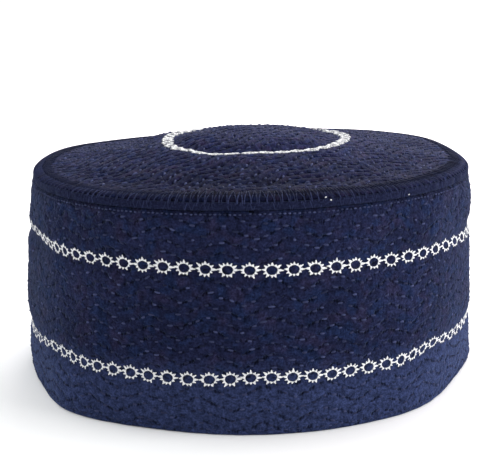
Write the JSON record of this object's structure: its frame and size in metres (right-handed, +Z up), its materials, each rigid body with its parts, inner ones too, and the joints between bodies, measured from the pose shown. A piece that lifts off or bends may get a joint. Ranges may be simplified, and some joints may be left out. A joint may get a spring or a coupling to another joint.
{
  "type": "kufi",
  "caption": "Round brimless kufi cap of quilted navy cloth with white eyelet embroidery round the wall and on the crown.",
  "frame": {"origin": "middle of the cap's box on the plane that the rim stands on", "axes": "+Z up through the crown, -Y the front that the picture shows, +X to the right as seen from the front"},
  "size_m": [0.1878, 0.1862, 0.0978],
  "materials": {
    "quilted_wall": "matte quilted cotton, navy, with rows of short running stitches in slightly lighter thread",
    "quilted_crown": "matte quilted cotton, navy, a little faded where the light falls on it",
    "welt_cloth": "matte cotton, navy, a narrow folded strip",
    "white_thread": "white embroidery thread with a soft sheen",
    "navy_thread": "navy sewing thread, a little lighter than the cloth"
  },
  "bodies": {
    "root": {"side_band": "quilted_wall", "crown": "quilted_crown", "seam_welt": "welt_cloth"}
  },
  "joints": []
}
